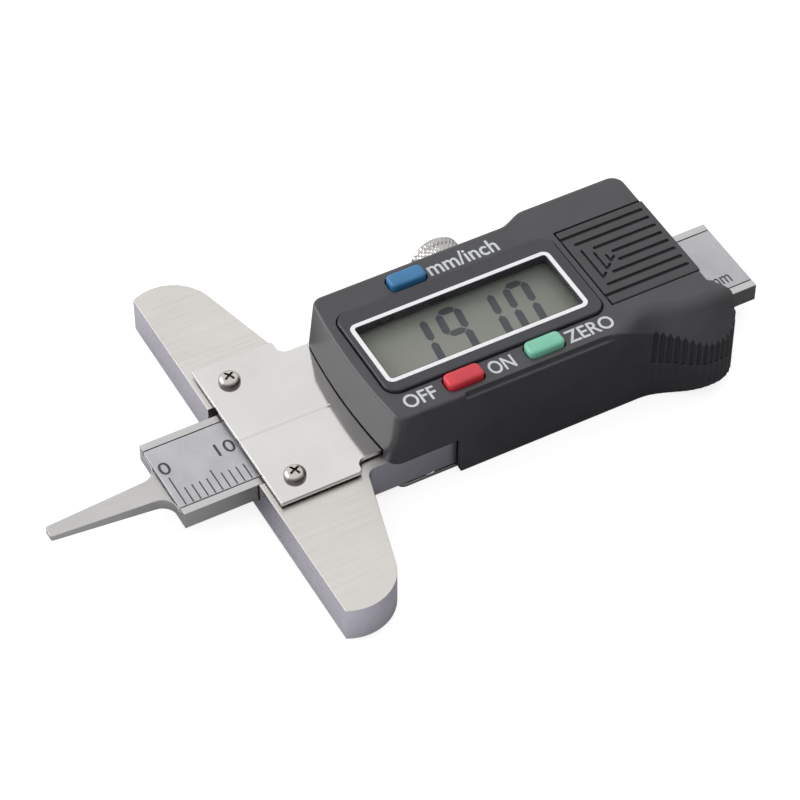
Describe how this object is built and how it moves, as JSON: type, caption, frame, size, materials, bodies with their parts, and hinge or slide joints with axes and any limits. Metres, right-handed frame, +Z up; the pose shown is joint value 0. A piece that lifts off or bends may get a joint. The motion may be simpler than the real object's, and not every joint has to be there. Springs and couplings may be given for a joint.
{
  "type": "digital depth gauge",
  "caption": "Pocket digital depth gauge: a flat probe on a sliding beam runs through a winged steel measuring base, with a display housing, push buttons and a thumb lock screw.",
  "frame": {"origin": "bottom centre of the whole gauge, with the beam at the pictured reading: midway between the probe's tip and the beam's rear end, on the beam's centre line, at the level that the back plate rests on", "axes": "+X from the probe's tip to the beam's rear end, +Y to the lock screw's side, +Z up through the display"},
  "size_m": [0.0976, 0.06, 0.0149],
  "materials": {
    "satin_steel": "satin",
    "frame_steel": "matt ground",
    "bright_steel": "polished sheet",
    "screw_steel": "bright plated",
    "printed_strip": "satin, printed",
    "black_plastic": "fine moulded texture",
    "bezel_plastic": "semi-gloss with a white border line",
    "clear_plastic": "clear",
    "lcd_glass": "grey-green liquid crystal",
    "grey_rubber": "matt",
    "circuit_board": "solder mask",
    "contact_steel": "nickel plated",
    "blue_cap": "satin",
    "red_cap": "satin",
    "green_cap": "satin"
  },
  "bodies": {
    "housing": {"measuring_base": "satin_steel", "back_plate": "frame_steel", "back_screw_1": "screw_steel", "back_screw_2": "screw_steel", "back_screw_3": "screw_steel", "back_screw_4": "screw_steel", "cover_plate": "bright_steel", "cover_plate_screw_1": "screw_steel", "cover_plate_screw_2": "screw_steel", "upper_housing": "black_plastic", "lower_housing": "black_plastic", "display_bezel": "bezel_plastic", "display_lens": "clear_plastic", "lcd_panel": "lcd_glass", "connector_strip_near": "grey_rubber", "connector_strip_far": "grey_rubber", "circuit_board": "circuit_board", "units_dome": "grey_rubber", "power_dome": "grey_rubber", "zero_dome": "grey_rubber", "coin_cell": "contact_steel", "battery_contact_side": "contact_steel", "battery_contact_base": "contact_steel"},
    "beam": {"beam": "satin_steel", "scale_strip": "printed_strip"},
    "gib": {"gib_strip": "contact_steel"},
    "lock": {"lock_screw": "screw_steel"},
    "units_key": {"units_button": "blue_cap"},
    "power_key": {"power_button": "red_cap"},
    "zero_key": {"zero_button": "green_cap"},
    "cover": {"battery_cover": "black_plastic"}
  },
  "joints": [
    {"name": "beam_slide", "type": "slide", "parent": "housing", "child": "beam", "axis": [1, 0, 0], "range_m": [-0.0025, 0.0255]},
    {"name": "gib_shift", "type": "slide", "parent": "housing", "child": "gib", "axis": [0, -1, 0], "range_m": [0, 0.0002]},
    {"name": "lock_turn", "type": "hinge", "parent": "gib", "child": "lock", "pos_m": [0.0152, 0.0075, 0.0044], "axis": [0, -1, 0], "range_deg": [0, 180]},
    {"name": "units_press", "type": "slide", "parent": "housing", "child": "units_key", "axis": [0, 0, -1], "range_m": [0, 0.0005], "stiffness_N_per_m": 1500},
    {"name": "power_press", "type": "slide", "parent": "housing", "child": "power_key", "axis": [0, 0, -1], "range_m": [0, 0.0005], "stiffness_N_per_m": 1500},
    {"name": "zero_press", "type": "slide", "parent": "housing", "child": "zero_key", "axis": [0, 0, -1], "range_m": [0, 0.0005], "stiffness_N_per_m": 1500},
    {"name": "battery_cover_slide", "type": "slide", "parent": "housing", "child": "cover", "axis": [1, 0, 0], "range_m": [0, 0.0132]}
  ],
  "couplings": [
    {"joint": "lock_turn", "follows": "gib_shift", "rad_per_m": 15700}
  ]
}
